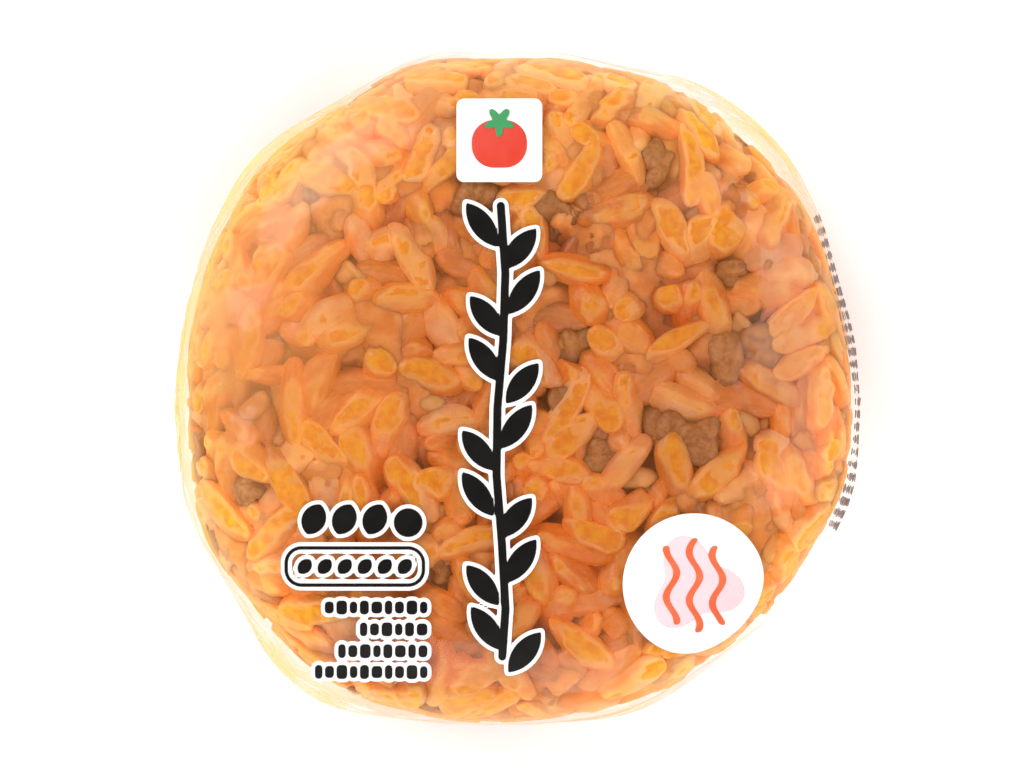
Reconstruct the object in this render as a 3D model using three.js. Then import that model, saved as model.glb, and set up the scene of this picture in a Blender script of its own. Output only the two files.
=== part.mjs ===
// A round ketchup rice ball, pressed into a thick puck and sealed in clear film, with a round label
// on its face. It lies on its back. Millimetres, +Z up, origin on the surface that it rests on, below
// the middle of the pack. From above, +X is the right of the printed face and +Y is its top.
import * as THREE from 'three';
import { mergeVertices } from 'three/addons/utils/BufferGeometryUtils.js';

// Driving dimensions.
const OUTLINE_RADIUS = 35.6; // the outline from above, before its soft corners
const PACK_HEIGHT = 35.5; // without the grains' bumps
const PROFILE_POWER = 4.4; // of the side profile: 2 is an ellipse, and more has a squarer rim
const BASE_CUT = 0.97; // the flat base cuts the lower half off at this share of its height
const LABEL_RADIUS = 7.6;
const LABEL_THICKNESS = 0.3;
const LABEL_CENTRE = new THREE.Vector2(18.6, -20.3);
const CLEARANCE = 0.3; // between the label and the film under it

// The film is drawn out into soft corners where the rice or a fold of the film stands proud.
// at and spread are degrees round from +X towards +Y, and out is the height in millimetres.
const SOFT_CORNERS = [
  { at: 47, spread: 24, out: 2.3 },
  { at: 106, spread: 10, out: 0.9 },
  { at: 143, spread: 14, out: 1.2 },
  { at: 205, spread: 18, out: 1.2 },
  { at: 236, spread: 16, out: 3.2 },
  { at: 290, spread: 10, out: 0.7 },
  { at: 340, spread: 22, out: 1.7 },
];

// The pressed grains show through the film as low bumps of a cooked grain's size.
const GRAIN_COUNT = 460;
const GRAIN_HALF_LENGTH = 3.9;
const GRAIN_HALF_WIDTH = 1.9;
const GRAIN_BUMP = 0.5;
const GRAIN_LENGTH_SPREAD = [0.8, 1.1]; // shares of the half length that grains vary between
const GRAIN_HEIGHT_SPREAD = [0.55, 1]; // shares of the bump that grains vary between
const GRAIN_JITTER = 2.2; // how far a grain lies from its place in the even spiral
const BUMP_FADE = 4; // the bumps die out over this distance to the flat base and to the label

// Fineness of the faceted surfaces.
const PACK_DETAIL = 19; // an icosahedron's faces are each cut into (detail + 1) squared triangles
const LABEL_SEGMENTS = 40;
const LABEL_RINGS = 6;
const SLOPE_STEP = 0.01; // the label's tilt is measured over this distance

const FILM_LOOK = { color: 0xe08a45, roughness: 0.25 }; // the rice seen through the film
const PAPER_LOOK = { color: 0xfdfdfa, roughness: 0.5 };

// Any fixed numbers that scatter the sine of a whole number well; they only have to stay the same.
const SCATTER = { index: 127.1, use: 311.7, spread: 43758.5453 };

const HALF_HEIGHT = PACK_HEIGHT / (1 + BASE_CUT);
const WIDEST_HEIGHT = PACK_HEIGHT - HALF_HEIGHT;
const GOLDEN_ANGLE = Math.PI * (3 - Math.sqrt(5));
const UP = new THREE.Vector3(0, 0, 1);
const FULL_TURN = 360;
const TINY = 1e-9; // keeps a division by a length at the pole from failing

// A repeatable number from 0 to 1 for each index and each use of it.
function chance(index, use) {
  const scattered = Math.sin(index * SCATTER.index + use * SCATTER.use) * SCATTER.spread;
  return THREE.MathUtils.euclideanModulo(scattered, 1);
}

// How far the outline reaches from the axis at an angle in radians.
function outlineRadius(angle) {
  const degrees = THREE.MathUtils.radToDeg(angle);
  return SOFT_CORNERS.reduce((radius, corner) => {
    const round = THREE.MathUtils.euclideanModulo(degrees - corner.at + FULL_TURN / 2, FULL_TURN);
    const away = round - FULL_TURN / 2;
    return radius + corner.out * Math.exp(-((away / corner.spread) ** 2));
  }, OUTLINE_RADIUS);
}

// The smooth puck without its base cut, about its own middle: the point and the outward direction
// that a point of a unit sphere is stretched to.
function onPuck(unit) {
  const radius = outlineRadius(Math.atan2(unit.y, unit.x));
  const across = Math.hypot(unit.x, unit.y);
  const size = (across ** PROFILE_POWER + Math.abs(unit.z) ** PROFILE_POWER) ** (-1 / PROFILE_POWER);
  const reach = across * size;
  const rise = unit.z * size;
  const spread = reach ** (PROFILE_POWER - 1) / radius / Math.max(across, TINY);
  return {
    point: new THREE.Vector3(unit.x * size * radius, unit.y * size * radius, rise * HALF_HEIGHT),
    outward: new THREE.Vector3(
      unit.x * spread,
      unit.y * spread,
      (Math.sign(rise) * Math.abs(rise) ** (PROFILE_POWER - 1)) / HALF_HEIGHT,
    ).normalize(),
  };
}

// The grains' bumps: each has a place on the puck, the direction it lies along and its own length.
function pressedGrains() {
  const grains = [];
  for (let i = 0; i < GRAIN_COUNT; i++) {
    const height = 1 - (2 * (i + 0.5)) / GRAIN_COUNT;
    const unit = new THREE.Vector3(Math.sqrt(1 - height * height), 0, height);
    unit.applyAxisAngle(UP, i * GOLDEN_ANGLE);
    const { point, outward } = onPuck(unit);
    const level = new THREE.Quaternion().setFromUnitVectors(UP, outward);
    const inPlane = (use) => new THREE.Vector3(1, 0, 0)
      .applyAxisAngle(UP, chance(i, use) * Math.PI * 2)
      .applyQuaternion(level);
    point.addScaledVector(inPlane(1), GRAIN_JITTER * chance(i, 2));
    grains.push({
      centre: point,
      lie: inPlane(3),
      halfLength: GRAIN_HALF_LENGTH * THREE.MathUtils.lerp(...GRAIN_LENGTH_SPREAD, chance(i, 4)),
      height: GRAIN_BUMP * THREE.MathUtils.lerp(...GRAIN_HEIGHT_SPREAD, chance(i, 5)),
    });
  }
  return grains;
}

// The height of the bumps at a point of the puck: the tallest grain there shows. The base and the
// label press them flat.
function bumpAt(point, grains) {
  const fromBase = point.z + WIDEST_HEIGHT;
  const fromLabel = Math.hypot(point.x - LABEL_CENTRE.x, point.y - LABEL_CENTRE.y) - LABEL_RADIUS;
  const free = THREE.MathUtils.smoothstep(fromBase, 0, BUMP_FADE)
    * (point.z < 0 ? 1 : THREE.MathUtils.smoothstep(fromLabel, 0, BUMP_FADE));
  let tallest = 0;
  const offset = new THREE.Vector3();
  for (const grain of grains) {
    offset.subVectors(point, grain.centre);
    const along = offset.dot(grain.lie);
    const acrossSquared = Math.max(0, offset.lengthSq() - along * along);
    const inside = 1 - (along / grain.halfLength) ** 2 - acrossSquared / GRAIN_HALF_WIDTH ** 2;
    tallest = Math.max(tallest, grain.height * Math.sqrt(Math.max(0, inside)));
  }
  return free * tallest;
}

// The sealed pack: film and rice as one closed body with a flat base.
function makePack() {
  const ball = new THREE.IcosahedronGeometry(1, PACK_DETAIL);
  ball.deleteAttribute('normal');
  ball.deleteAttribute('uv');
  const geometry = mergeVertices(ball);
  const grains = pressedGrains();
  const { position } = geometry.attributes;
  const unit = new THREE.Vector3();
  for (let i = 0; i < position.count; i++) {
    const { point, outward } = onPuck(unit.fromBufferAttribute(position, i));
    point.addScaledVector(outward, bumpAt(point, grains));
    position.setXYZ(i, point.x, point.y, Math.max(0, point.z + WIDEST_HEIGHT));
  }
  geometry.computeVertexNormals();
  const film = new THREE.MeshStandardMaterial({ ...FILM_LOOK, metalness: 0 });
  const mesh = new THREE.Mesh(geometry, film);
  mesh.name = 'wrapped_rice_ball';
  return mesh;
}

// The height of the smooth upper surface above a point of the plan.
function crownHeight(x, y) {
  const reach = Math.min(1, Math.hypot(x, y) / outlineRadius(Math.atan2(y, x)));
  return WIDEST_HEIGHT + HALF_HEIGHT * (1 - reach ** PROFILE_POWER) ** (1 / PROFILE_POWER);
}

// The round label: a thin disc bent over the shoulder of the pack, just clear of the film.
function makeLabel() {
  const section = [new THREE.Vector2(0, 0)];
  for (let ring = 1; ring <= LABEL_RINGS; ring++) {
    section.push(new THREE.Vector2((LABEL_RADIUS * ring) / LABEL_RINGS, 0));
  }
  for (let ring = LABEL_RINGS; ring > 0; ring--) {
    section.push(new THREE.Vector2((LABEL_RADIUS * ring) / LABEL_RINGS, LABEL_THICKNESS));
  }
  section.push(new THREE.Vector2(0, LABEL_THICKNESS));
  const geometry = new THREE.LatheGeometry(section, LABEL_SEGMENTS);
  geometry.rotateX(Math.PI / 2);
  const { position } = geometry.attributes;
  for (let i = 0; i < position.count; i++) {
    const x = LABEL_CENTRE.x + position.getX(i);
    const y = LABEL_CENTRE.y + position.getY(i);
    const ground = crownHeight(x, y);
    const outward = new THREE.Vector3(
      (ground - crownHeight(x + SLOPE_STEP, y)) / SLOPE_STEP,
      (ground - crownHeight(x, y + SLOPE_STEP)) / SLOPE_STEP,
      1,
    ).normalize();
    const point = new THREE.Vector3(x, y, ground);
    point.addScaledVector(outward, CLEARANCE + position.getZ(i));
    position.setXYZ(i, point.x, point.y, point.z);
  }
  const paper = new THREE.MeshStandardMaterial({ ...PAPER_LOOK, metalness: 0 });
  const mesh = new THREE.Mesh(geometry, paper);
  mesh.name = 'round_label';
  return mesh;
}

const wrappedRiceBall = new THREE.Group();
wrappedRiceBall.add(makePack(), makeLabel());

export default wrappedRiceBall;
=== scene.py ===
# A round ketchup rice ball, pressed into a thick puck and sealed in clear film, on its back. The CAD
# solid of the pack is replaced with the film, grains of rice packed against it one by one, bits of
# chicken and onion, and plain print. Lengths are millimetres until a mesh, a light or the camera is
# made, and angles are degrees. +Y is the top of the face.
import math

import bmesh
import bpy
import numpy as np
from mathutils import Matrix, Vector, kdtree


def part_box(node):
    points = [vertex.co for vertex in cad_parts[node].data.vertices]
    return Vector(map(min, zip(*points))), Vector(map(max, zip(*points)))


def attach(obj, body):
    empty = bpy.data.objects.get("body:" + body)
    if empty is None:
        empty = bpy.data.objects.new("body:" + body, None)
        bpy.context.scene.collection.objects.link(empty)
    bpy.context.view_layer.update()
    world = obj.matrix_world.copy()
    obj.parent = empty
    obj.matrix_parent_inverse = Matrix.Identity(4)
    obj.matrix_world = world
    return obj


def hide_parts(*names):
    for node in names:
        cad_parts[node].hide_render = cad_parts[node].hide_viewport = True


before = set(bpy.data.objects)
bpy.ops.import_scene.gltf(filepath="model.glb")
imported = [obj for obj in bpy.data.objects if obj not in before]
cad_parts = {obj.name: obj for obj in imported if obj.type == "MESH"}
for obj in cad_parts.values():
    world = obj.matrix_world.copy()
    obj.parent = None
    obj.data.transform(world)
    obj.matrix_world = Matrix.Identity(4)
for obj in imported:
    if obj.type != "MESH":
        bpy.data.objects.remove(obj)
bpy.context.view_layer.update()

MM = 0.001
RNG = np.random.default_rng(20)

# The pack's own shape, as the CAD makes it, from the size of its solid.
PACK_LOW, PACK_HIGH = (np.array(corner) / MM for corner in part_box("wrapped_rice_ball"))
LABEL_LOW, LABEL_HIGH = (np.array(corner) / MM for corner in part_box("round_label"))
PACK_SIZE = PACK_HIGH - PACK_LOW
BUMP_SHARE = 0.989  # of the solid's height, without its bumps
CORNER_SHARE = 0.979  # of the solid's mean half width, without its soft corners
OUTLINE_RADIUS = CORNER_SHARE * (PACK_SIZE[0] + PACK_SIZE[1]) / 4
PACK_HEIGHT = BUMP_SHARE * PACK_SIZE[2]
PROFILE_POWER = 4.4  # of the side profile: 2 is an ellipse, and more has a squarer rim
BASE_CUT = 0.97  # the flat base cuts the lower half off at this share of its height
HALF_HEIGHT = PACK_HEIGHT / (1 + BASE_CUT)
MIDDLE = PACK_HEIGHT - HALF_HEIGHT

# Where the film is drawn out from the round outline, and where the rice stays back from the film:
# degrees round from +X towards +Y, spread in degrees, and how far in millimetres.
SOFT_CORNERS = [
    (47, 24, 2.3), (106, 10, 0.9), (143, 14, 1.2), (205, 18, 1.2), (236, 16, 3.2), (290, 10, 0.7),
    (340, 22, 1.7),
]
SLACK_FILM = [
    (4, 14, 0.5), (46, 18, 1.7), (92, 14, 0.6), (141, 20, 1.1), (188, 18, 1.0), (234, 16, 2.3),
    (290, 14, 0.7), (328, 14, 0.9), (342, 12, 0.5),
]
FILM_BASE = 0.3  # the seal on the back lies under the film there
FILM_GAP = 0.12  # from the film to the rice that touches it

# Rice.
GRAIN_COUNT = 1720
BROKEN_SHARE = 0.05  # of the grains are small broken bits
CUT_SHARE = 0.1  # of the grains are cut off flat
SHELL = 4.8  # the grains fill a shell this deep, round a core
CORE_DEPTH = 1.9
CORE_RISE = 0.6  # nearer to the film where the pack is pale
CORE_WAVES = ((8, 16, 8, 0.3), (14, 6, 2.4, 0.16), (12, 2, 1, 0.06))  # see make_waves
GRAIN_LENGTH = (7.6, 0.8)  # mean and spread
GRAIN_RADIUS = (1.62, 0.17)
LENGTH_LIMITS, RADIUS_LIMITS = (6.0, 9.2), (1.2, 1.9)
BROKEN_LENGTH, BROKEN_RADIUS = (2.2, 4.4), (0.8, 1.25)
UNDER_FILM = (-0.12, 1.0)  # from pressed flat by the first, to the last below the film
SQUEEZE = 0.72  # share of their size that two grains keep where they press together
PACKING_STEPS = 70
PAIRS_EVERY = 10  # steps, a new search for the beads near each other
PAIR_REACH = 3.0  # beads are near within this and the radius of the largest lump
PRESSURE = 0.012  # how far each step presses the grains outwards
MOVE_SHARE, TURN_SHARE = 0.22, 0.6  # of the push on it that a grain moves and turns by in a step
MOST_TURN = 0.25  # radians a step
FLATTEST_SPREAD = 0.1  # no two grains are flattened quite level with each other

WHITE = (255, 255, 255)
TINY = 1e-6  # in place of 0, where 0 can't be divided by
SETTLING_ROUNDS = 4


def linear(*srgb):
    """A colour's sRGB numbers, from 0 to 255, as the linear values that shaders take."""
    return tuple(
        (c / 255 / 12.92 if c < 10.3 else ((c / 255 + 0.055) / 1.055) ** 2.4) for c in srgb
    )


# ---- the pack's skin

def summed(angle, bulges):
    """The sum of the bulges at each angle in radians."""
    degrees = np.degrees(angle)
    total = np.zeros_like(degrees)
    for at, spread, out in bulges:
        away = (degrees - at + 180) % 360 - 180
        total += out * np.exp(-((away / spread) ** 2))
    return total


def make_waves(count, longest, shortest, height):
    """Plane waves that make a smooth unevenness: direction times wave number, phase, height."""
    waves = []
    for _ in range(count):
        way = RNG.normal(size=3)
        length = RNG.uniform(shortest, longest)
        waves.append((way / np.linalg.norm(way) * 2 * math.pi / length, RNG.uniform(0, 6.3), height))
    return waves


def waved(points, waves):
    """The height of the waves at each point."""
    total = np.zeros(len(points))
    for way, phase, height in waves:
        total += height * np.sin(points @ way + phase)
    return total


SKIN_WAVES = make_waves(9, 26, 10, 0.09)


def smoothstep(low, high, value):
    share = np.clip((value - low) / (high - low), 0, 1)
    return share * share * (3 - 2 * share)


def pleats(points):
    """How far the film's folds stand out at each point: sharp, slanted pleats down the side."""
    x, y, z = points.T
    angle = np.degrees(np.arctan2(y, x))
    side = 0.2 + 0.8 * smoothstep(PACK_HEIGHT * 0.55, PACK_HEIGHT * 0.3, z)
    side *= smoothstep(PACK_HEIGHT * 0.9, PACK_HEIGHT * 0.6, z)
    total = np.zeros(len(points))
    for at, slant, width, height in PLEATS:
        away = (angle - at - slant * (z - MIDDLE) + 180) % 360 - 180
        total += height * np.exp(-np.abs(away / width) ** 1.5)
    return total * side


PLEATS = [  # they gather at the two ends of the bag, at 0 and 180 degrees
    (180 * (k % 2) + RNG.normal(0, 26), RNG.normal(0, 0.5), RNG.uniform(1.4, 3.2), RNG.uniform(0.1, 0.4))
    for k in range(32)
] + [
    (RNG.uniform(0, 360), RNG.normal(0, 0.5), RNG.uniform(1.6, 3.6), RNG.uniform(0.08, 0.2))
    for _ in range(20)
]


class Wall:
    """A closed skin in the pack's shape, some way inside the film's smooth surface."""

    def __init__(self, inset, base, slack=(), pleated=False):
        self.inset, self.base, self.slack, self.pleated = inset, base, slack, pleated

    def measure(self, points):
        """How deep each point lies inside, less than 0 outside, and the way out there."""
        x, y, z = points.T
        across = np.maximum(np.hypot(x, y), TINY)
        angle = np.arctan2(y, x)
        radius = OUTLINE_RADIUS - self.inset + summed(angle, SOFT_CORNERS) - summed(angle, self.slack)
        height = HALF_HEIGHT - self.inset
        side, rise = across / radius, (z - MIDDLE) / height
        reach = (side**PROFILE_POWER + np.abs(rise) ** PROFILE_POWER) ** (1 / PROFILE_POWER)
        reach = np.maximum(reach, TINY)
        flat = (side / reach) ** (PROFILE_POWER - 1) / radius
        up = np.sign(rise) * (np.abs(rise) / reach) ** (PROFILE_POWER - 1) / height
        outward = np.stack([flat * x / across, flat * y / across, up], 1)
        steepness = np.linalg.norm(outward, axis=1)
        outward /= steepness[:, None]
        depth = (1 - reach) / steepness + waved(points, SKIN_WAVES)
        if self.pleated:
            depth += pleats(points)
        above_base = z - self.base
        on_base = above_base < depth
        outward[on_base] = (0, 0, -1)
        return np.where(on_base, above_base, depth), outward

    def settle(self, points, lift=0.0):
        """Moves points straight in or out until they lie lift above the wall."""
        for _ in range(SETTLING_ROUNDS):
            depth, outward = self.measure(points)
            points = points + (depth + lift)[:, None] * outward
        return points

    def hold(self, points, under):
        """Moves points that lie less than under inside the wall back in."""
        depth, outward = self.measure(points)
        return points + np.minimum(depth - under, 0)[:, None] * outward


FILM = Wall(0, FILM_BASE, pleated=True)
RICE = Wall(FILM_GAP, FILM_BASE + FILM_GAP, SLACK_FILM)


# ---- meshes

def make_piece(name, points, faces, material, facts=None):
    """One mesh piece from points. facts are numbers for each point, which materials read."""
    mesh = bpy.data.meshes.new(name)
    mesh.from_pydata((np.asarray(points) * MM).tolist(), [], faces)
    mesh.materials.append(material)
    mesh.shade_smooth()
    for fact, values in (facts or {}).items():
        values = np.asarray(values, dtype=np.float32)
        kind, key = ("FLOAT_VECTOR", "vector") if values.ndim == 2 else ("FLOAT", "value")
        mesh.attributes.new(fact, kind, "POINT").data.foreach_set(key, values.ravel())
    mesh.update()
    piece = bpy.data.objects.new(name, mesh)
    bpy.context.collection.objects.link(piece)
    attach(piece, "root")
    return piece


def unit_ball(subdivisions):
    """The points and faces of a round icosphere."""
    ball = bmesh.new()
    bmesh.ops.create_icosphere(ball, subdivisions=subdivisions, radius=1)
    points = np.array([vertex.co[:] for vertex in ball.verts])
    faces = [[vertex.index for vertex in face.verts] for face in ball.faces]
    ball.free()
    return points, faces


def puck(directions, wall):
    """Stretches the points of a unit ball onto a wall."""
    x, y, z = directions.T
    across = np.hypot(x, y)
    size = (across**PROFILE_POWER + np.abs(z) ** PROFILE_POWER) ** (-1 / PROFILE_POWER)
    points = directions * size[:, None] * (OUTLINE_RADIUS, OUTLINE_RADIUS, HALF_HEIGHT)
    return wall.settle(points + (0, 0, MIDDLE))


# ---- packing the rice

# Painted sheen: rice, chicken, onion and film are painted paler near the rim and towards some sides of
# the face, for the film's reflection and the brighter light there.
RIM_SHEEN = 0.65
SHEEN_WAYS = [  # painted sheen, for the film's reflection and brighter light: a way across the face, where along it the sheen starts and is full, and how much
    ((-1, 0), 2, 30, 0.4), ((0, 1), 6, 31, 0.4), ((-1, -1), 32, 44, 0.3), ((1, 1), 30, 42, 0.1),
    ((1, -1), 26, 40, 0.4), ((0, -1), 29, 35, 0.1),
]


def near_top(z):
    """0 on the lower side of the pack, and 1 on its upper side and face."""
    return smoothstep(PACK_HEIGHT * 0.4, PACK_HEIGHT * 0.75, z)


def film_facts(points, under=0.0):
    """How far points lie below the top of the rice, and their painted sheen, for the film's reflection
    and brighter light.
    """
    gap = RICE.measure(points)[0] - under
    x, y, z = points.T
    share = np.hypot(x, y) / (OUTLINE_RADIUS + summed(np.arctan2(y, x), SOFT_CORNERS))
    pale = RIM_SHEEN * smoothstep(0.8, 1, share)
    for way, low, high, amount in SHEEN_WAYS:
        pale += amount * smoothstep(low, high, points[:, :2] @ way)
    # painted light: more sheen on the top of the pack than on its lower side
    pale *= 0.55 + 0.45 * near_top(z)
    return {"gap": np.maximum(gap, 0), "pale": pale}


class Grains:
    """Grains of rice, each with its place, way, length and radius."""

    def __init__(self, count):
        box = RNG.uniform(PACK_LOW, PACK_HIGH, (count * 40, 3))
        depth, outward = RICE.measure(box)
        chosen = np.flatnonzero((depth > 1.2) & (depth < SHELL - 1))[:count]
        self.count = len(chosen)
        self.centre, outward = box[chosen], outward[chosen]
        way = RNG.normal(size=(self.count, 3))
        way -= 0.7 * (way * outward).sum(1)[:, None] * outward
        self.way = way / np.linalg.norm(way, axis=1)[:, None]
        self.cut = RNG.random(self.count) < CUT_SHARE
        self.broken = RNG.random(self.count) < BROKEN_SHARE
        length = RNG.normal(*GRAIN_LENGTH, self.count).clip(*LENGTH_LIMITS)
        length *= np.where(self.cut, RNG.uniform(0.4, 0.75, self.count), 1)
        self.length = np.where(self.broken, RNG.uniform(*BROKEN_LENGTH, self.count), length)
        radius = RNG.normal(*GRAIN_RADIUS, self.count).clip(*RADIUS_LIMITS)
        self.radius = np.where(self.broken, RNG.uniform(*BROKEN_RADIUS, self.count), radius)
        round_rim = 1 - np.abs(outward[:, 2])
        self.under = RNG.uniform(*UNDER_FILM, self.count) + 0.5 * self.broken - 0.35 * round_rim


BEADS = np.array([-1, -1 / 3, 1 / 3, 1])  # a grain is packed as four beads in a row
BEAD_SIZES = np.array([0.84, 1, 1, 0.84])


def near_pairs(points, owners, reach):
    """The pairs of points of different owners that lie within reach of each other."""
    tree = kdtree.KDTree(len(points))
    for index, point in enumerate(points):
        tree.insert(point, index)
    tree.balance()
    pairs = [
        (index, other)
        for index, point in enumerate(points)
        for _, other, _ in tree.find_range(point, reach)
        if other > index and owners[index] != owners[other]
    ]
    return np.array(pairs).T


def pack(grains, lumps, lump_sizes):
    """Pushes the grains apart, off the lumps and against the film until they lie packed."""
    count = grains.count
    reach = (grains.length / 2 - BEAD_SIZES[0] * grains.radius)[:, None] * BEADS
    sizes = np.concatenate([(grains.radius[:, None] * BEAD_SIZES).ravel(), lump_sizes])
    owners = np.concatenate([np.repeat(np.arange(count), len(BEADS)), count + np.arange(len(lumps))])
    turning = (reach**2).sum(1)
    bead_count = count * len(BEADS)
    under = np.repeat(grains.under, len(BEADS))
    for step in range(PACKING_STEPS):
        arms = reach[:, :, None] * grains.way[:, None, :]
        beads = (grains.centre[:, None, :] + arms).reshape(-1, 3)
        points = np.concatenate([beads, lumps])
        if step % PAIRS_EVERY == 0:
            first, second = near_pairs(points, owners, PAIR_REACH + max(lump_sizes))
        apart = points[second] - points[first]
        distance = np.maximum(np.linalg.norm(apart, axis=1), TINY)
        overlap = (sizes[first] + sizes[second]) * SQUEEZE - distance
        touching = overlap > 0
        shift = (0.5 * overlap[touching] / distance[touching])[:, None] * apart[touching]
        push = np.stack([
            np.bincount(second[touching], shift[:, k], len(points))
            - np.bincount(first[touching], shift[:, k], len(points))
            for k in range(3)
        ], 1)[:bead_count]
        depth, outward = RICE.measure(beads)
        too_far_out = np.maximum(sizes[:bead_count] + under - depth, 0)
        too_deep = np.maximum(depth + 0.3 * sizes[:bead_count] - SHELL, 0)
        push += (too_deep - too_far_out + PRESSURE)[:, None] * outward
        push = push.reshape(count, len(BEADS), 3)
        grains.centre = grains.centre + MOVE_SHARE * push.sum(1)
        turn = TURN_SHARE * np.cross(arms, push).sum(1) / turning[:, None]
        turn *= np.minimum(1, MOST_TURN / np.maximum(np.linalg.norm(turn, axis=1), TINY))[:, None]
        grains.way = grains.way + np.cross(turn, grains.way)
        grains.way /= np.linalg.norm(grains.way, axis=1)[:, None]


# ---- the shape of grains

def blunt(values):
    """Values from -1 to 1, with more of them near the ends."""
    return np.sign(values) * np.abs(values) ** 0.9


def grain_template(rings, segments):
    """Places along and round a grain, from -1 to 1 and in radians, and the faces over them."""
    turn = np.pi * np.arange(1, rings + 1) / (rings + 1)
    along = -blunt(np.cos(turn))
    girth = np.sin(turn)
    around = 2 * np.pi * np.arange(segments) / segments
    along = np.concatenate([[-1], np.repeat(along, segments), [1]])
    girth = np.concatenate([[0], np.repeat(girth, segments), [0]])
    around = np.concatenate([[0], np.tile(around, rings), [0]])
    faces = []
    last = rings * segments + 1
    for k in range(segments):
        after = (k + 1) % segments
        faces.append([0, 1 + after, 1 + k])
        faces.append([last, last - segments + k, last - segments + after])
        for ring in range(rings - 1):
            low = 1 + ring * segments
            faces.append([low + k, low + after, low + segments + after, low + segments + k])
    return along, girth, around, faces


def grain_meshes(grains, chosen, rings, segments):
    """The points of each chosen grain, the same from the grain's own middle, and the faces of one."""
    along, girth, around, faces = grain_template(rings, segments)
    count = len(chosen)

    def column(low, high):
        return RNG.uniform(low, high, (count, 1))

    length, radius = grains.length[chosen][:, None], grains.radius[chosen][:, None]
    along = np.where(grains.cut[chosen][:, None], np.minimum(along, column(0.55, 0.8)), along[None, :])
    wide = radius * column(1.0, 1.25)
    thick = radius * column(0.85, 1.0)
    girth = girth ** column(0.72, 1.05)
    swell = 1 + column(-0.25, 0.25) * along + column(-0.1, 0.05) * np.cos(3.2 * along + column(0, 6.3))
    for lobes, height in ((2, 0.05), (3, 0.06), (4, 0.06), (5, 0.035)):
        swell += height * column(0.2, 1) * np.cos(lobes * around + column(0, 6.3) + column(-1, 1) * along)
    sideways = wide * girth * swell * blunt(np.cos(around)) + column(-0.6, 0.6) * (along**2 - 0.4)
    outwards = thick * girth * swell * blunt(np.sin(around)) + column(-0.5, 0.5) * (along**2 - 0.4)
    lengthways = along * length / 2 * 1.06
    centre, way = grains.centre[chosen], grains.way[chosen]
    _, outward = RICE.measure(centre)
    side = np.cross(outward, way)
    side = side / np.maximum(np.linalg.norm(side, axis=1), TINY)[:, None]
    top = np.cross(way, side)
    roll = RNG.normal(0, 0.6, (count, 1))
    side, top = side * np.cos(roll) + top * np.sin(roll), top * np.cos(roll) - side * np.sin(roll)
    points = (
        centre[:, None, :]
        + lengthways[:, :, None] * way[:, None, :]
        + sideways[:, :, None] * side[:, None, :]
        + outwards[:, :, None] * top[:, None, :]
    )
    return points, np.stack([lengthways, sideways, outwards], 2), faces


def join_grains(name, grains, chosen, rings, segments, material):
    """One piece of many grains, flattened where they meet the film."""
    points, place, grain_faces = grain_meshes(grains, chosen, rings, segments)
    count, size, _ = points.shape
    points = points.reshape(-1, 3)
    points = points + waved(points, GRAIN_DENTS)[:, None] * RICE.measure(points)[1]
    under = np.repeat(RNG.uniform(0, FLATTEST_SPREAD, count), size)
    points = RICE.hold(points, under)
    faces = [[corner + index * size for corner in face] for index in range(count) for face in grain_faces]
    tint = np.repeat(RNG.random(count), size)
    place = place.reshape(-1, 3) + 40 * tint[:, None]
    facts = {**film_facts(points, under), "tint": tint, "grain_place": place}
    facts["sunk"] = np.repeat(facts["gap"].reshape(count, size).min(1), size)
    return make_piece(name, points, faces, material, facts=facts)


GRAIN_DENTS = make_waves(12, 4.2, 1.3, 0.065)


# ---- chicken, onion and the core

# On the face: x, y, size, and how far it is buried.
CHICKEN = [
    (21.7, 3.4, 7.0, 0), (26.8, 4.6, 5.6, 0.5), (14.6, -3.6, 5.6, 0.4), (18.8, -5.6, 6.6, 0.2),
    (5.6, -2.2, 5.0, 0.4), (4.5, 18.4, 5.6, 0.6), (15.5, 24.6, 6.0, 1.3), (23.6, 12.6, 4.2, 0.9),
    (-28.3, -10.9, 4.0, 1.2), (-21.9, 20.4, 4.4, 1.3), (-4.4, 20.8, 6.6, 0.1), (6.0, 4.8, 4.4, 1.0),
    (9.4, -7.6, 4.6, 0.8), (-8.4, -19.4, 4.0, 0.8),
]
ONION = [
    (12.4, -9.2, 5.4, 0.4), (24.4, 6.9, 5.0, 0.1), (25.6, -4.0, 5.0, 0.6), (-9.6, -1.4, 5.4, 0.3),
    (3.2, 11.5, 4.2, 0.6), (-17.5, 12.4, 4.6, 0.6),
]
HOLLOWS = [  # under the face: x, y and size of the gaps between the grains
    (6.8, 5.0, 4.4), (14.2, 7.4, 4.8), (9.2, -6.8, 4.6), (15.2, -7.6, 4.2), (17.4, 0.6, 4.0),
    (3.6, -1.2, 4.0), (13.0, -15.0, 4.0), (17.4, 19.4, 3.4), (4.6, 14.6, 4.0), (-5.0, -1.0, 3.6),
    (-20.1, 10.5, 4.4), (-25.3, 6.0, 3.4), (-29.0, 0.0, 3.4), (-25.6, -2.8, 4.0),
    (-17.6, 1.6, 3.2), (-9.6, 6.0, 3.4), (-15.1, -3.9, 3.4), (-10.0, -7.0, 4.2),
    (-14.0, -9.8, 3.0), (-13.6, 17.8, 3.8), (-21.6, 16.6, 3.6), (4.2, -13.4, 4.2), (8.4, -18.4, 3.6),
    (3.0, -24.6, 3.2), (20.6, 13.8, 3.4), (-7.4, 11.6, 3.4),
]
MORE_CHICKEN = (34, 2.4, 4.4)  # round the side and back: count, smallest and largest
MORE_ONION = (26, 2.2, 3.6)
CHICKEN_ROOM, ONION_ROOM, HOLLOW_ROOM = 0.62, 0.54, 0.5  # share of its size that keeps grains off
HOLLOW_DEPTH, HOLLOW_SPREAD = 1.7, 0.6  # of the core's dip there: depth, and share of the size
CRUMBS, CRUMB_SPREAD = 4, 0.11
LUMP_DETAIL, SKIN_DETAIL = 3, 7  # how often the faces of a ball are divided
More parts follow.
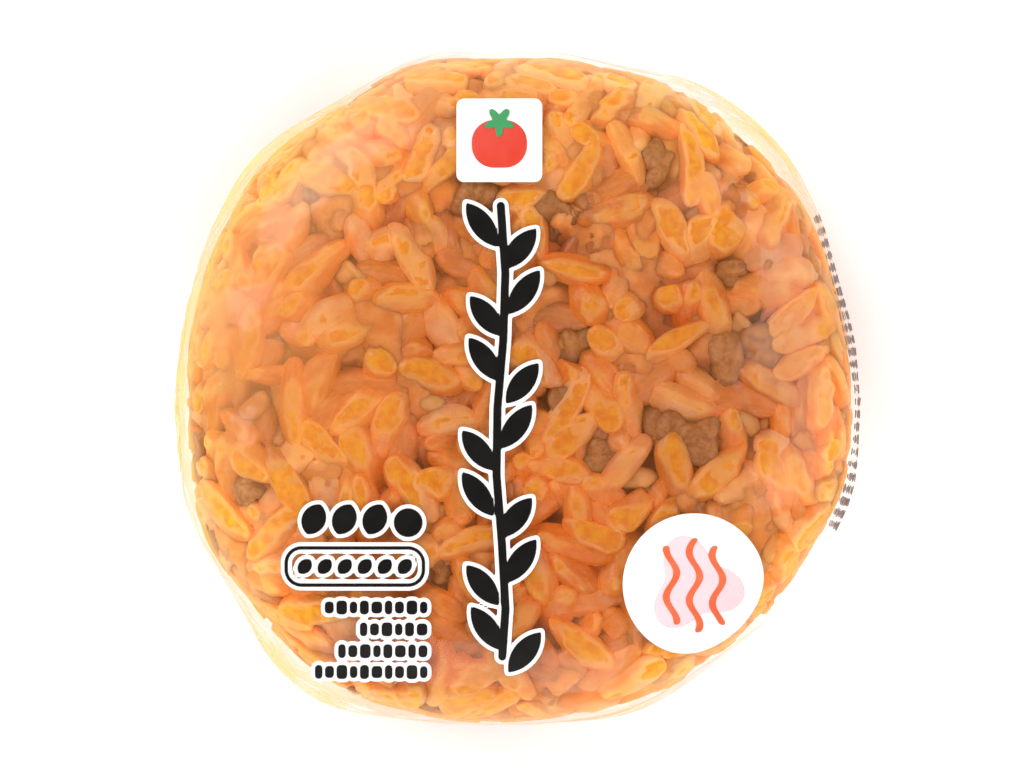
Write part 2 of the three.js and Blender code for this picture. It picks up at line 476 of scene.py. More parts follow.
FACE_FROM, BACK_TO = 0.76, 0.3  # shares of the pack's height


def under_face(plan, below):
    """The places of plan points, each so far below the film of the face."""
    points = np.column_stack([plan, np.full(len(plan), PACK_HEIGHT)])
    return RICE.settle(points) - (0, 0, 1) * np.reshape(below, (-1, 1))


def crumble(places, sizes):
    """Makes a ragged heap of some smaller lumps from each lump."""
    places, sizes = np.repeat(places, CRUMBS, 0), np.repeat(sizes, CRUMBS)
    away = RNG.normal(0, CRUMB_SPREAD, places.shape) * sizes[:, None]
    return places + away, sizes * RNG.uniform(0.6, 0.92, len(sizes))


def all_places(spots, count, low, high):
    """The places and sizes of the bits on the face, and of count more round the side and back."""
    spots = np.array(spots)
    box = RNG.uniform(PACK_LOW, PACK_HIGH, (count * 60, 3))
    depth, _ = RICE.measure(box)
    chosen = np.flatnonzero((depth > 0) & (depth < 1.2) & (box[:, 2] < PACK_HEIGHT * 0.75))[:count]
    places = np.concatenate([under_face(spots[:, :2], spots[:, 3]), RICE.settle(box[chosen])])
    sizes = np.concatenate([spots[:, 2], RNG.uniform(low, high, len(chosen))])
    return places - (0.4 * sizes)[:, None] * RICE.measure(places)[1], sizes


def lump_piece(name, places, sizes, roughness, material, stretch):
    """One piece of many uneven lumps, flattened where they meet the film."""
    ball, ball_faces = unit_ball(LUMP_DETAIL)
    all_points, faces, tint = [], [], []
    for place, size in zip(places, sizes):
        waves = make_waves(5, 2.8, 1.2, roughness)
        wobble = make_waves(4, 1.1, 0.5, roughness * 0.2)
        axes = np.linalg.qr(RNG.normal(size=(3, 3)))[0]
        scale = size / 2 * np.array([1.0, RNG.uniform(*stretch), RNG.uniform(*stretch)])
        swell = 1 + waved(ball, waves) + waved(ball, wobble)
        shape = (ball * swell[:, None] * scale) @ axes
        faces += [[corner + len(all_points) * len(ball) for corner in face] for face in ball_faces]
        under = RNG.uniform(2, 5) * FLATTEST_SPREAD
        all_points.append(RICE.hold(RICE.hold(place + shape, under), under))
        tint += [RNG.random()] * len(ball)
    points = np.concatenate(all_points)
    facts = {**film_facts(points), "tint": tint}
    return make_piece(name, points, faces, material, facts=facts)


# ---- materials

# Colours run from the browner tone to the paler one with the painted sheen: the paler tone is painted
# light, for the film's reflection and the brighter light.
BROWNER, PALER = (206.4, 198.8, 167.7), (259.4, 286.1, 260.5)


class Shader:
    """A new material and short ways to add its nodes. Colours are sRGB numbers from 0 to 255."""

    def __init__(self, name):
        self.material = bpy.data.materials.new(name)
        self.material.use_nodes = True
        self.tree = self.material.node_tree
        self.tree.nodes.clear()
        self.place = self.add("TexCoord").outputs["Object"]

    def add(self, kind, settings=None, **inputs):
        """A new node. inputs go by their sockets' names, or by i and their sockets' numbers."""
        node = self.tree.nodes.new("ShaderNode" + kind)
        for setting, value in (settings or {}).items():
            setattr(node, setting, value)
        for name, value in inputs.items():
            socket = node.inputs[int(name[1:]) if name[1:].isdigit() else name.replace("_", " ")]
            if isinstance(value, bpy.types.NodeSocket):
                self.tree.links.new(value, socket)
            elif socket.type == "RGBA":
                socket.default_value = (*linear(*value), 1)
            else:
                socket.default_value = value
        return node

    def fact(self, name, output="Fac"):
        return self.add("Attribute", {"attribute_name": name}).outputs[output]

    def near(self, spot, inner, outer):
        """1 within inner millimetres of a spot, and 0 beyond outer."""
        away = self.add(
            "VectorMath", {"operation": "DISTANCE"}, i0=self.place, i1=tuple(np.array(spot) * MM)
        ).outputs["Value"]
        return self.span(away, outer * MM, inner * MM)

    def noise(self, size, detail=2.0, roughness=0.5, place=None):
        """Noise from 0 to 1 whose blobs are about size millimetres across."""
        return self.add(
            "TexNoise", Vector=place or self.place, Scale=1 / (size * MM), Detail=detail,
            Roughness=roughness,
        ).outputs["Fac"]

    def streaks(self, size):
        """Noise from 0 to 1 in streaks along each grain, size millimetres wide."""
        place = self.fact("grain_place", "Vector")
        drawn_out = self.add("VectorMath", {"operation": "MULTIPLY"}, i0=place, i1=(0.25, 1.0, 1.0))
        return self.noise(size / MM, place=drawn_out.outputs[0])

    def toned(self, colour):
        """colour, but paler and yellower where the painted sheen is, for the film's reflection and
        brighter light, and browner and darker elsewhere.
        """
        return self.blend(1.0, colour, self.blend(self.fact("pale"), BROWNER, PALER), "MULTIPLY")

    def math(self, operation, first, second):
        return self.add("Math", {"operation": operation}, i0=first, i1=second).outputs[0]

    def span(self, value, low, high, to_low=0.0, to_high=1.0):
        """value from low to high as a number from to_low to to_high."""
        return self.add(
            "MapRange", {"interpolation_type": "SMOOTHSTEP"}, Value=value, From_Min=low,
            From_Max=high, To_Min=to_low, To_Max=to_high,
        ).outputs[0]

    def blend(self, share, first, second, kind="MIX"):
        """Mixes two colours."""
        settings = {"data_type": "RGBA", "blend_type": kind}
        return self.add("Mix", settings, i0=share, i6=first, i7=second).outputs[2]

    def ramp(self, value, stops):
        """A colour that runs through the stops, each a place from 0 to 1 and its colour."""
        node = self.add("ValToRGB", Fac=value)
        for place, colour in stops[1:-1]:
            node.color_ramp.elements.new(place)
        for element, (place, colour) in zip(node.color_ramp.elements, stops):
            element.position, element.color = place, (*linear(*colour), 1)
        return node.outputs["Color"]

    def bump(self, height, distance):
        return self.add("Bump", Height=height, Distance=distance * MM).outputs["Normal"]

    def mixed(self, share, first, second):
        """Mixes two shaders."""
        return self.add("MixShader", i0=share, i1=first, i2=second).outputs[0]

    def clear(self):
        return self.add("BsdfTransparent", Color=WHITE).outputs[0]

    def gloss(self, roughness, normal):
        return self.add("BsdfGlossy", Color=WHITE, Roughness=roughness, Normal=normal).outputs[0]

    def flesh(self, colour, roughness, depth, normal, weight=0.8):
        """The soft skin of cooked food, which light shines into, about depth millimetres."""
        skin = self.add(
            "BsdfPrincipled", {"subsurface_method": "BURLEY"}, Base_Color=colour,
            Roughness=roughness, Subsurface_Weight=weight, Subsurface_Radius=(1.0, 0.7, 0.5),
            Subsurface_Scale=depth * MM, Specular_IOR_Level=0.3, Normal=normal,
        )
        return self.surface(skin.outputs[0])

    def surface(self, shader):
        self.add("OutputMaterial", Surface=shader)
        return self.material


def soaked_colour(shader, plain, pressed, edge, deep):
    """plain, but pressed where it touches the film, with a paler edge of painted sheen just off it, and
    deep, a painted shade, far below it.
    """
    gap = shader.fact("gap")
    uneven = shader.math("MULTIPLY", shader.math("SUBTRACT", shader.noise(0.9, 3), 0.5), 0.16)
    near = shader.math("ADD", gap, uneven)
    # painted shade: darker and browner the further below the film
    colour = shader.blend(shader.span(gap, 1.0, 3.6, 0, 1), plain, deep)
    # painted sheen: paler where the surface lies just off the film
    colour = shader.blend(shader.span(near, 0.14, 0.5, 0.5, 0), colour, edge)
    colour = shader.blend(shader.span(near, 0.035, 0.08, 1, 0), colour, pressed)
    return shader.toned(colour)


SAUCE_SPOTS = [  # the middle of a spot of wet sauce, and its inner and outer radius
    ((4, -13, 34), 4, 12), ((5, -27, 32), 3, 9), ((-8, -27, 32), 3, 8),
]


def rice_material():
    shader = Shader("rice")
    mottle = shader.noise(2.2, 3)
    plain = shader.ramp(shader.fact("tint"), [
        (0.0, (200, 108, 52)), (0.25, (232, 122, 38)), (0.55, (238, 140, 66)),
        (0.8, (242, 158, 104)), (1.0, (240, 162, 128)),
    ])
    plain = shader.blend(shader.span(mottle, 0.35, 0.7, 0, 0.5), plain, (232, 120, 40))
    sauce = shader.span(shader.noise(9, 3), 0.5, 0.62, 0, 0.7)
    for spot in SAUCE_SPOTS:
        sauce = shader.math("MAXIMUM", sauce, shader.math("MULTIPLY", shader.near(*spot), 0.75))
    plain = shader.blend(sauce, plain, (238, 112, 26))
    # painted shade: grains that lie deeper below the film are browner and darker
    sunk = shader.span(shader.fact("sunk"), 0.1, 0.9, 0, 0.8)
    plain = shader.blend(sunk, plain, (198, 108, 68))
    streaks = shader.span(shader.streaks(0.5), 0.35, 0.7, 0, 0.2)
    plain = shader.blend(streaks, plain, (252, 176, 104))
    blotches = shader.span(shader.noise(1.1, 2), 0.3, 0.7)
    pressed = shader.blend(blotches, (238, 130, 16), (248, 160, 32))
    # the last two colours are a painted sheen just off the film and a painted shade deep below it
    colour = soaked_colour(shader, plain, pressed, (254, 180, 104), (184, 78, 34))
    roughness = shader.span(mottle, 0.3, 0.7, 0.34, 0.5)
    return shader.flesh(colour, roughness, 3, shader.bump(shader.noise(0.8, 3, 0.6), 0.16))


def core_material():
    shader = Shader("core")
    mottle = shader.span(shader.noise(2.5, 3), 0.35, 0.65)
    plain = shader.blend(mottle, (226, 120, 48), (244, 152, 90))
    sauce = shader.span(shader.noise(5, 2), 0.5, 0.65, 0, 0.7)
    plain = shader.blend(sauce, plain, (238, 120, 30))
    # the last two colours are a painted sheen just off the film and a painted shade deep below it
    colour = soaked_colour(shader, plain, (244, 144, 40), (250, 170, 96), (198, 94, 46))
    return shader.flesh(colour, 0.5, 2, shader.bump(shader.noise(0.8, 3), 0.15))


def chicken_material():
    shader = Shader("chicken")
    grit = shader.noise(0.7, 3, 0.6)
    plain = shader.blend(shader.span(grit, 0.32, 0.64), (160, 90, 46), (196, 124, 74))
    patches = shader.span(shader.noise(2.4, 3), 0.45, 0.7, 0, 0.6)
    plain = shader.blend(patches, plain, (166, 98, 54))
    # painted shade: darker where the chicken lies further below the film
    deep = shader.span(shader.fact("gap"), 0.3, 3.0, 0, 0.85)
    colour = shader.toned(shader.blend(deep, plain, (128, 64, 28)))
    return shader.flesh(colour, 0.5, 2, shader.bump(grit, 0.08), weight=0.7)


def onion_material():
    shader = Shader("onion")
    mottle = shader.noise(1.4, 3)
    plain = shader.blend(mottle, (232, 146, 88), (244, 172, 116))
    # the last two colours are a painted sheen just off the film and a painted shade deep below it
    colour = soaked_colour(shader, plain, (244, 160, 76), (250, 180, 112), (196, 100, 44))
    return shader.flesh(colour, 0.5, 2, shader.bump(shader.noise(0.5, 2), 0.05))


def film_material():
    """Clear film, smeared where it touches the rice, with yellow oil in its slack parts, and a painted
    sheen: paler and denser where the rice is painted paler and over the left of the face, for the
    softbox's reflection.
    """
    shader = Shader("clear_film")
    oil, pale = shader.fact("oil"), shader.fact("pale")
    facing = shader.add("LayerWeight", Blend=0.5).outputs["Facing"]
    # painted sheen: the film's dull layer is rice orange, and paler where the painted sheen is
    colour = shader.blend(shader.span(pale, 0.2, 1), (244, 160, 84), (255, 204, 152))
    colour = shader.blend(oil, colour, (255, 248, 140))
    lit = shader.add("BsdfDiffuse", Color=colour).outputs[0]
    through = shader.add("BsdfTranslucent", Color=colour).outputs[0]
    dull = shader.mixed(shader.math("MULTIPLY", oil, 0.5), lit, through)
    smear_and_sheen = shader.span(shader.noise(7), 0.35, 0.75, 0.03, 0.16)
    smear_and_sheen = shader.math("MULTIPLY", smear_and_sheen, shader.fact("tight"))
    # painted sheen: the smear is denser where the painted sheen is, and a painted reflection of the
    # softbox is added
    smear_and_sheen = shader.math("MULTIPLY", smear_and_sheen, shader.span(pale, 0, 1, 1, 2))
    smear_and_sheen = shader.math("ADD", smear_and_sheen, shader.math("MULTIPLY", shader.fact("painted_reflection"), 0.28))
    oily = shader.math("MULTIPLY", oil, shader.span(facing, 0.3, 0.9, 0.1, 0.6))
    body = shader.mixed(shader.math("ADD", oily, smear_and_sheen), shader.clear(), dull)
    mirror = shader.math("ADD", shader.math("MULTIPLY", shader.math("POWER", facing, 5), 0.1), 0.02)
    gloss = shader.gloss(0.15, shader.bump(shader.noise(4, 2), 0.2))
    return shader.surface(shader.mixed(mirror, body, gloss))


def seal_material():
    """Two or more layers of film, which are a little milky."""
    shader = Shader("film_seal")
    haze = shader.blend(shader.noise(4, 2), (250, 226, 206), (252, 240, 230))
    milky = shader.add("BsdfDiffuse", Color=haze).outputs[0]
    solid = shader.span(shader.noise(5, 3), 0.3, 0.7, 0.15, 0.35)
    body = shader.mixed(solid, shader.clear(), milky)
    gloss = shader.gloss(0.2, shader.bump(shader.noise(1.5, 3), 0.1))
    return shader.surface(shader.mixed(0.08, body, gloss))


INKS = {  # colour, colour where worn, roughness and gloss
    "black_ink": ((12, 9, 8), (24, 20, 18), 0.5, 0.15),
    "white_ink": ((254, 252, 250), (250, 246, 242), 0.4, 0.5),
    "red_ink": ((216, 56, 34), (222, 76, 50), 0.4, 0.5),
    "green_ink": ((46, 146, 80), (70, 164, 100), 0.4, 0.5),
    "orange_ink": ((226, 96, 48), (230, 116, 70), 0.45, 0.5),
    "pink_ink": ((246, 208, 212), (240, 196, 204), 0.45, 0.5),
    "grey_ink": ((120, 108, 102), (146, 132, 126), 0.4, 0.5),
    "label_stock": ((254, 254, 251), (250, 250, 247), 0.5, 0.5),
}


def print_material(name):
    colour, worn, roughness, gloss = INKS[name]
    shader = Shader(name)
    wear = shader.span(shader.noise(1.6, 3), 0.4, 0.8, 0, 0.5)
    shade = shader.blend(wear, colour, worn)
    skin = shader.add(
        "BsdfPrincipled", Base_Color=shade, Specular_IOR_Level=gloss,
        Roughness=shader.span(shader.noise(3), 0.3, 0.7, roughness - 0.06, roughness + 0.06),
        Normal=shader.bump(shader.noise(0.5, 2), 0.01),
    )
    return shader.surface(skin.outputs[0])


# ---- print

def capsule(x, y, start, end, radius):
    """How far plan points lie outside a rod with round ends."""
    run_x, run_y = end[0] - start[0], end[1] - start[1]
    share = ((x - start[0]) * run_x + (y - start[1]) * run_y) / (run_x**2 + run_y**2)
    share = np.clip(share, 0, 1)
    return np.hypot(x - start[0] - share * run_x, y - start[1] - share * run_y) - radius


def rounded_box(x, y, centre, half_width, half_height, corner):
    """How far plan points lie outside a box with round corners."""
    over_x = np.abs(x - centre[0]) - half_width + corner
    over_y = np.abs(y - centre[1]) - half_height + corner
    outside = np.hypot(np.maximum(over_x, 0), np.maximum(over_y, 0))
    return outside + np.minimum(np.maximum(over_x, over_y), 0) - corner


def cut_grid(distance, low, high, step):
    """Plan points and faces that fill the places where distance(x, y) is under 0, cut along its edge."""
    xs = np.arange(low[0], high[0] + step, step)
    ys = np.arange(low[1], high[1] + step, step)
    grid_x, grid_y = np.meshgrid(xs, ys)
    values = distance(grid_x, grid_y)
    values = np.where(np.abs(values) < 1e-5, 1e-5, values)
    points, faces, numbers = [], [], {}

    def number(key, x, y):
        if key not in numbers:
            numbers[key] = len(points)
            points.append((x, y))
        return numbers[key]

    def corner_ring(cell):
        ring = []
        for (row, col), (next_row, next_col) in zip(cell, cell[1:] + cell[:1]):
            here, there = values[row, col], values[next_row, next_col]
            if here < 0:
                ring.append(number((row, col), xs[col], ys[row]))
            if (here < 0) != (there < 0):
                share = here / (here - there)
                ring.append(number(
                    tuple(sorted([(row, col), (next_row, next_col)])),
                    xs[col] + share * (xs[next_col] - xs[col]),
                    ys[row] + share * (ys[next_row] - ys[row]),
                ))
        return ring

    inside = values < 0
    some = inside[:-1, :-1] | inside[1:, :-1] | inside[:-1, 1:] | inside[1:, 1:]
    whole = inside[:-1, :-1] & inside[1:, :-1] & inside[:-1, 1:] & inside[1:, 1:]
    for row, col in np.argwhere(some):
        square = [(row, col), (row, col + 1), (row + 1, col + 1), (row + 1, col)]
        halves = [square] if whole[row, col] else [square[:3], [square[0], *square[2:]]]
        faces += [ring for ring in map(corner_ring, halves) if len(ring) > 2]
    return np.array(points), faces


def on_face(plan, lift):
    """Plan points put on the film of the face, lift above it."""
    points = np.column_stack([plan, np.full(len(plan), PACK_HEIGHT)])
    for _ in range(SETTLING_ROUNDS):
        depth, outward = FILM.measure(points)
        points[:, 2] += depth / np.maximum(outward[:, 2], 0.25)
    return points + lift * FILM.measure(points)[1]


def on_rim(plan, lift):
    """Like on_face, for paper, which doesn't stretch as it bends down over the rim."""
    reach = np.hypot(plan[:, 0], plan[:, 1])
    over_rim = np.maximum(reach / OUTLINE_RADIUS - 0.85, 0)
    return on_face(plan * (1 - 1.4 * over_rim**2)[:, None], lift)


def on_back(plan, lift):
    """Plan points put on the film of the back, lift below it."""
    return FILM.settle(np.column_stack([plan, np.zeros(len(plan))]), lift)


def on_side(plan, lift):
    """Arc lengths round the side and heights, put on the film there."""
    angle = plan[:, 0] / OUTLINE_RADIUS
    points = np.column_stack([np.cos(angle) * OUTLINE_RADIUS, np.sin(angle) * OUTLINE_RADIUS, plan[:, 1]])
    return FILM.settle(points, lift)


def print_piece(name, shape, box, lift, material, step, place):
    """A thin layer of ink, paper or more film, lift above the film, from a grid of that step."""
    plan, faces = cut_grid(shape, *box, step)
    piece = make_piece(name, place(plan, lift), faces, material)
    skin = piece.modifiers.new("layer", "SOLIDIFY")
    skin.thickness, skin.offset = INK_THICKNESS * MM, -1
    return piece


INK_LAYER = 0.07  # from each layer of ink up to the next
INK_THICKNESS, LABEL_THICKNESS = 0.05, 0.12
LABEL_LIFT = 0.3


def union(*shapes):
    return np.minimum.reduce(shapes)


TWIG_X = -1.5
TWIG_TOP = 19.2
TWIG_STEP = 7.05
TWIG_COUNT = 7
HALO = 0.42


def leaf(x, y, start, end, half_width):
    """How far plan points lie outside a lens with a point at each end."""
    middle_x, middle_y = (start[0] + end[0]) / 2, (start[1] + end[1]) / 2
    half = math.hypot(end[0] - start[0], end[1] - start[1]) / 2
    way_x, way_y = (end[0] - middle_x) / half, (end[1] - middle_y) / half
    along = np.abs((x - middle_x) * way_x + (y - middle_y) * way_y)
    across = np.abs((y - middle_y) * way_x - (x - middle_x) * way_y)
    bow = (half**2 + half_width**2) / (2 * half_width)
    beyond_tip = (along - half) * (bow - half_width) > across * half
    at_side = np.hypot(across + bow - half_width, along) - bow
    return np.where(beyond_tip, np.hypot(along - half, across), at_side)


def stem_x(joint):
    """Where the swaying stem is at each joint."""
    return TWIG_X + 0.5 * math.sin(joint * 1.3)


def twig(x, y):
    """A twig: a stem with a leaf on each side at each joint."""
    shapes = []
    for k in range(TWIG_COUNT):
        top = TWIG_TOP - k * TWIG_STEP
        flip = 1 if k % 2 else -1
        stem = stem_x(k)
        end = top - TWIG_STEP if k < TWIG_COUNT - 1 else top - TWIG_STEP * 0.7
        shapes.append(capsule(x, y, (stem, top), (stem_x(k + 1), end), 0.42))
        shapes.append(leaf(x, y, (stem + flip * 0.3, top - 4.3), (stem + flip * 3.6, top + 0.3), 1.15))
        shapes.append(leaf(x, y, (stem - flip * 0.3, top - 6.6), (stem - flip * 3.7, top - 2.4), 1.15))
    return union(*shapes)


def leaf_row(x, y, start, end, half_width, pitch, count):
    """Leaves side by side, the first from start to end."""
    shifted = [x - pitch * k for k in range(count)]
    return union(*[leaf(across, y, start, end, half_width) for across in shifted])


def grain_block(x, y):
    """Two rows of plain shapes: bold grains and a dot, and small grains in a ring."""
    return union(
        leaf_row(x, y, (-21.8, -15.2), (-20.4, -12.1), 1.25, 3.2, 3),
        np.hypot(x + 11.2, y + 14.0) - 1.5,
        np.abs(rounded_box(x, y, (-16.8, -18.6), 7.2, 1.95, 1.6)) - 0.17,
        leaf_row(x, y, (-22.65, -19.3), (-21.45, -17.9), 0.68, 2.1, 6),
    )


BEAD_ROWS = [  # y, then where the beads start
    (-22.9, -19.2), (-25.2, -16.4), (-27.5, -17.8), (-29.7, -21.2),
]
BEADS_END = -9.2


def bead_rows(x, y):
    """Four rows of small plain beads, level at their right end."""
    beads = []
    for row, (height, start) in enumerate(BEAD_ROWS):
        place, k = BEADS_END, 0
        while place > start:
            half = (0.38, 0.55, 0.46)[(k + row) % 3]
            beads.append(rounded_box(x, y, (place - half, height), half, 0.62 + 0.1 * (k % 2), 0.36))
            place -= 2 * half + 0.3
            k += 1
    return union(*beads)


def main_ink(x, y):
    return union(twig(x, y), grain_block(x, y), bead_rows(x, y))


def main_halo(x, y):
    return main_ink(x, y) - HALO


PANEL = (-1.65, 26.1)


def panel(x, y):
    return rounded_box(x, y, PANEL, 4.5, 4.4, 0.8)


def tomato(x, y):
    return rounded_box(x, y, (PANEL[0], PANEL[1] - 0.4), 2.9, 2.5, 2.35)


def calyx(x, y):
    """Five pointed green leaves."""
    away_x, away_y = x - PANEL[0], y - PANEL[1] - 1.9
    angle = np.arctan2(away_y, away_x)
    return np.hypot(away_x, away_y) - 0.75 - 0.85 * np.abs(np.cos(2.5 * angle + 0.785)) ** 2


LABEL_CENTRE = (LABEL_LOW + LABEL_HIGH)[:2] / 2
LABEL_RADIUS = (LABEL_HIGH - LABEL_LOW)[0] / 2 - 0.25


def label_disc(x, y):
    return np.hypot(x - LABEL_CENTRE[0], y - LABEL_CENTRE[1]) - LABEL_RADIUS


def label_blot(x, y):
    """A soft pale blot of five lobes."""
    away_x, away_y = x - LABEL_CENTRE[0], y - LABEL_CENTRE[1]
    return np.hypot(away_x, away_y) - 4.2 - 1.1 * np.cos(3 * np.arctan2(away_y, away_x) + 0.6)


def label_steam(x, y):
    """Three wavy lines of rising steam."""
    lines = []
    for k, shift in enumerate((-2.4, 0, 2.4)):
        middle = LABEL_CENTRE[0] + shift + 0.55 * np.sin((y - LABEL_CENTRE[1]) * 1.25 + k * 0.4)
        half = 4.6 if k == 1 else 3.8
        over = np.maximum(np.abs(y - LABEL_CENTRE[1]) - half, 0)
        lines.append(np.hypot((x - middle) * 0.85, over) - 0.3)
    return union(*lines)


SIDE_MIDDLE, SIDE_HALF = np.array((1.8, 18.5)), np.array((17, 10.5))  # in arc length and height
DASH_PITCH = (1.3, 0.75)


def side_print(x, y):
    """Rows of tiny dashes of different lengths, with some left out."""
    pitch_x, pitch_y = DASH_PITCH
    column, row = np.round(x / pitch_x), np.round(y / pitch_y)
    ragged = np.abs(np.sin(column * 12.9 + row * 78.2) * 43758.5) % 1
    half_length = 0.12 + 0.42 * ragged
    dash = rounded_box(x - column * pitch_x, y - row * pitch_y, (0, 0), half_length, 0.12, 0.09)
    dash = np.where(ragged < 0.15, 1.0, dash)
    return np.maximum(dash, rounded_box(x, y, SIDE_MIDDLE, *SIDE_HALF, 1))


# ---- building

def build_contents():
    rice, core = rice_material(), core_material()
    chicken_at, chicken_size = all_places(CHICKEN, *MORE_CHICKEN)
    onion_at, onion_size = all_places(ONION, *MORE_ONION)
    hollows = np.array(HOLLOWS)
    hollow_size = hollows[:, 2]
    hollow_at = under_face(hollows[:, :2], 0.4 * hollow_size)
    grains = Grains(GRAIN_COUNT)
    lump_sizes = np.concatenate([
        CHICKEN_ROOM * chicken_size, ONION_ROOM * onion_size, HOLLOW_ROOM * hollow_size
    ])
    pack(grains, np.concatenate([chicken_at, onion_at, hollow_at]), lump_sizes)

    chicken_at, chicken_size = crumble(chicken_at, chicken_size)
    lump_piece("chicken_bits", chicken_at, chicken_size, 0.19, chicken_material(), (0.7, 1.0))
    lump_piece("onion_bits", onion_at, onion_size, 0.13, onion_material(), (0.4, 0.65))

    height = grains.centre[:, 2]
    on_top = height > PACK_HEIGHT * FACE_FROM
    below = height < PACK_HEIGHT * BACK_TO
    whole = ~grains.broken
    for name, chosen, rings, segments in (
        ("rice_face", on_top & whole, 11, 16), ("rice_side", ~on_top & ~below & whole, 9, 12),
        ("rice_back", below & whole, 9, 12), ("rice_crumbs", grains.broken, 7, 10),
    ):
        join_grains(name, grains, np.flatnonzero(chosen), rings, segments, rice)

    directions, faces = unit_ball(SKIN_DETAIL)
    heart = Wall(CORE_DEPTH, CORE_DEPTH, SLACK_FILM)
    points = puck(directions, heart)
    relief = sum(waved(points, make_waves(*waves)) for waves in CORE_WAVES)
    relief += CORE_RISE * film_facts(points)["pale"]
    for place, size in zip(hollow_at, hollow_size):
        away = np.linalg.norm(points - place, axis=1)
        relief -= HOLLOW_DEPTH * np.exp(-((away / (HOLLOW_SPREAD * size)) ** 2))
    points = RICE.hold(points + relief[:, None] * heart.measure(points)[1], 0.4)
    filling = make_piece("rice_core", points, faces, core, facts=film_facts(points))
    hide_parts("wrapped_rice_ball")


OILY_FILM = [  # degrees round, spread in degrees, and how oily
    (46, 20, 1.0), (140, 26, 1.0), (184, 18, 1.0), (232, 20, 1.0), (290, 14, 0.5),
]


def build_film():
    directions, faces = unit_ball(SKIN_DETAIL)
    points = puck(directions, FILM)
    x, y, z = points.T
    slack = -RICE.measure(points)[0] - FILM_GAP
    zone = np.clip(summed(np.arctan2(y, x), OILY_FILM), 0, 1)
    patchy = smoothstep(-0.5, 0.1, waved(points, make_waves(8, 7, 2.5, 0.1)))
    oil = zone * patchy * smoothstep(0.05, 0.6, slack)
    oil *= smoothstep(PACK_HEIGHT, PACK_HEIGHT * 0.8, z)
    tight = smoothstep(0.8, 0.1, slack)
    # painted reflection: a pale veil on the film over the left of the face and near its top, where the
    # film is tight, for the softbox's reflection
    painted_reflection = smoothstep(-8, -31, x) * smoothstep(-16, 2, y) + 0.2 * smoothstep(26, 33, y)
    painted_reflection = np.clip(painted_reflection, 0, 1) * tight * near_top(z)
    facts = {**film_facts(points), "oil": oil, "tight": tight, "painted_reflection": painted_reflection}
    film = make_piece("clear_film", points, faces, film_material(), facts=facts)
    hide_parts("wrapped_rice_ball")


def build_print():
    inks = {name: print_material(name) for name in INKS}
    ink_box = ((-25.6, -32.2), (4.2, 21.0))
    side_box = (SIDE_MIDDLE - SIDE_HALF, SIDE_MIDDLE + SIDE_HALF)
    label_half = np.array([LABEL_RADIUS + 0.5] * 2)
    label_box = (LABEL_CENTRE - label_half, LABEL_CENTRE + label_half)
    pieces = {}
    for name, shape, box, lift, ink, step, place in (
        ("print_white", main_halo, ink_box, INK_LAYER, "white_ink", 0.2, on_face),
        ("print_black", main_ink, ink_box, 2 * INK_LAYER, "black_ink", 0.2, on_face),
        ("panel_white", panel, ((-7, 21), (4, 31)), INK_LAYER, "white_ink", 0.2, on_face),
        ("panel_tomato", tomato, ((-6, 22), (3, 30)), 2 * INK_LAYER, "red_ink", 0.2, on_face),
        ("panel_calyx", calyx, ((-6, 24), (3, 31)), 3 * INK_LAYER, "green_ink", 0.12, on_face),
        ("side_dashes", side_print, side_box, INK_LAYER, "grey_ink", 0.15, on_side),
        ("label", label_disc, label_box, LABEL_LIFT, "label_stock", 0.3, on_rim),
        ("label_blot", label_blot, label_box, LABEL_LIFT + INK_LAYER, "pink_ink", 0.2, on_face),
        ("label_steam", label_steam, label_box, LABEL_LIFT + 2 * INK_LAYER, "orange_ink", 0.14, on_face),
    ):
        pieces[name] = print_piece(name, shape, box, lift, inks[ink], step, place)
    pieces["label"].modifiers["layer"].thickness = LABEL_THICKNESS * MM
    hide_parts("round_label")


SEAM_HALF = (29.5, 5)
FLAP_REACH = (7, 29.5)  # from the middle, of each folded end of the bag
FIN_WIDTH = 6  # of the crimped seal at the end of each flap
CRIMP_PITCH = 1.2


def back_seam(x, y):
    return rounded_box(x, y, (0, 0), *SEAM_HALF, 0.5)


def end_flap(x, y):
    """Two flaps that widen towards the rim."""
    inner, outer = FLAP_REACH
    middle, half = (inner + outer) / 2, (outer - inner) / 2
    return rounded_box(np.abs(x), y * (1.25 - 0.012 * np.abs(x)), (middle, 0), half, 16, 1)


def end_fin(x, y):
    return np.maximum(end_flap(x, y), np.abs(np.abs(x) - FLAP_REACH[0] - FIN_WIDTH / 2) - FIN_WIDTH / 2)


def on_crimps(plan, lift):
    points = on_back(plan, lift)
    points[:, 2] += 0.03 * np.sin(plan[:, 0] * 2 * math.pi / CRIMP_PITCH)
    return points


def build_seals():
    """The back seam of the bag and its two ends, folded flat under the base."""
    sealed = seal_material()
    box = ((-35, -20), (35, 20))
    for name, shape, lift, step, place in (
        ("back_seam", back_seam, 0.05, 0.6, on_back),
        ("end_flaps", end_flap, 0.12, 0.6, on_back),
        ("end_fins", end_fin, 0.2, 0.3, on_crimps),
    ):
        print_piece(name, shape, box, lift, sealed, step, place)


FLOOR_HALF = 4000


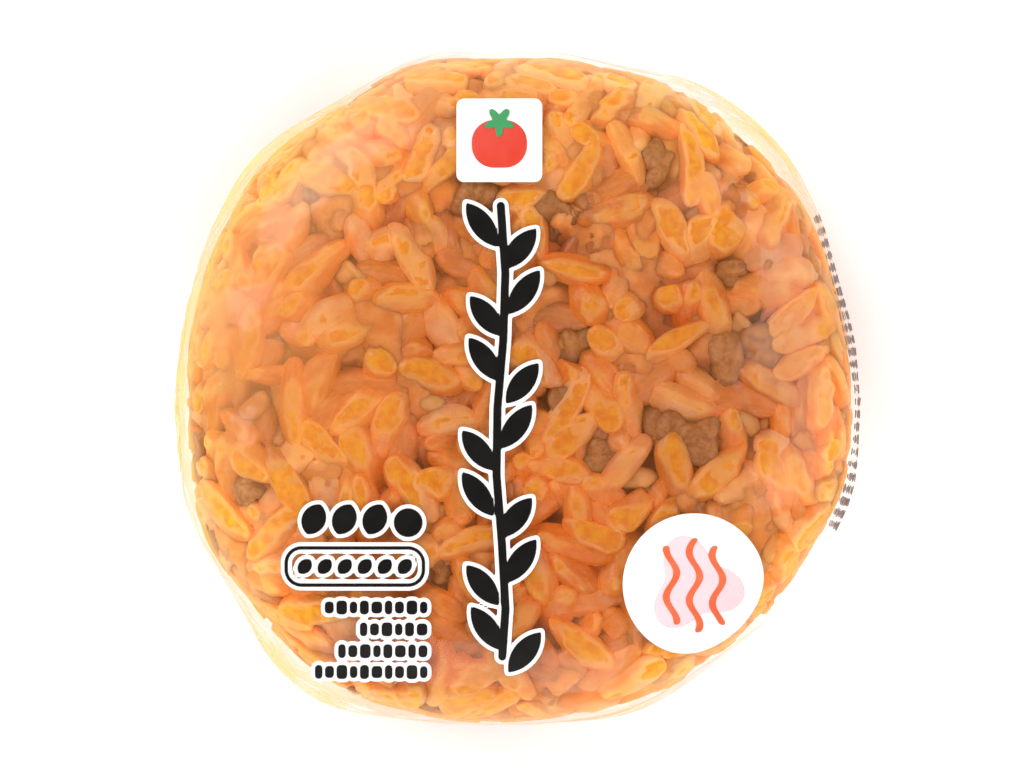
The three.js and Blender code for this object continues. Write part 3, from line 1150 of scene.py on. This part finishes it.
def build_floor():
    shader = Shader("floor")
    skin = shader.add(
        "BsdfPrincipled", Base_Color=(251, 251, 251), Roughness=0.9, Specular_IOR_Level=0.1,
        Emission_Color=WHITE, Emission_Strength=0.19,
    )
    shader.surface(skin.outputs[0])
    mesh = bpy.data.meshes.new("floor")
    half = FLOOR_HALF * MM
    corners = [(-half, -half, 0), (half, -half, 0), (half, half, 0), (-half, half, 0)]
    mesh.from_pydata(corners, [], [(0, 1, 2, 3)])
    mesh.materials.append(shader.material)
    floor = bpy.data.objects.new("floor", mesh)
    bpy.context.collection.objects.link(floor)


def add_lamp(name, place, power):
    """A square soft lamp that shines at the middle of the pack."""
    data = bpy.data.lights.new(name, "AREA")
    data.size, data.energy = LAMP_SIZE * MM, power
    lamp = bpy.data.objects.new(name, data)
    lamp.location = Vector(place) * MM
    lamp.rotation_euler = (Vector((0, 0, MIDDLE)) - Vector(place)).to_track_quat("-Z", "Y").to_euler()
    bpy.context.collection.objects.link(lamp)


SKY_STRENGTH = 0.034
LAMP_SIZE = 1300
STUDIO_LAMPS = [  # name, place and power
    ("key", (-1000, 900, 1100), 28),
    ("fill", (1150, 100, 1000), 18),
    ("front", (-200, -1200, 1000), 18),
]
LENS, SENSOR_WIDTH = 400, 36
VIEW_WIDTH, VIEW_LEVEL = 108.5, MIDDLE + 5  # the view is that wide at that height
VIEW_MIDDLE = (-0.32, 0.74)


def build_studio():
    """A faint white sky, the soft lamps, and the camera, straight above the face."""
    world = bpy.data.worlds.new("studio")
    world.use_nodes = True
    sky = world.node_tree.nodes["Background"]
    sky.inputs["Color"].default_value = (*linear(*WHITE), 1)
    sky.inputs["Strength"].default_value = SKY_STRENGTH
    bpy.context.scene.world = world
    bpy.context.scene.view_settings.view_transform = "Standard"
    for lamp in STUDIO_LAMPS:
        add_lamp(*lamp)

    camera_data = bpy.data.cameras.new("camera")
    camera_data.lens, camera_data.sensor_width = LENS, SENSOR_WIDTH
    camera = bpy.data.objects.new("camera", camera_data)
    distance = VIEW_WIDTH * LENS / SENSOR_WIDTH
    camera.location = Vector((*VIEW_MIDDLE, VIEW_LEVEL + distance)) * MM
    camera_data.clip_end = 10
    bpy.context.collection.objects.link(camera)
    bpy.context.scene.camera = camera


build_contents()
build_film()
build_print()
build_seals()
build_floor()
build_studio()
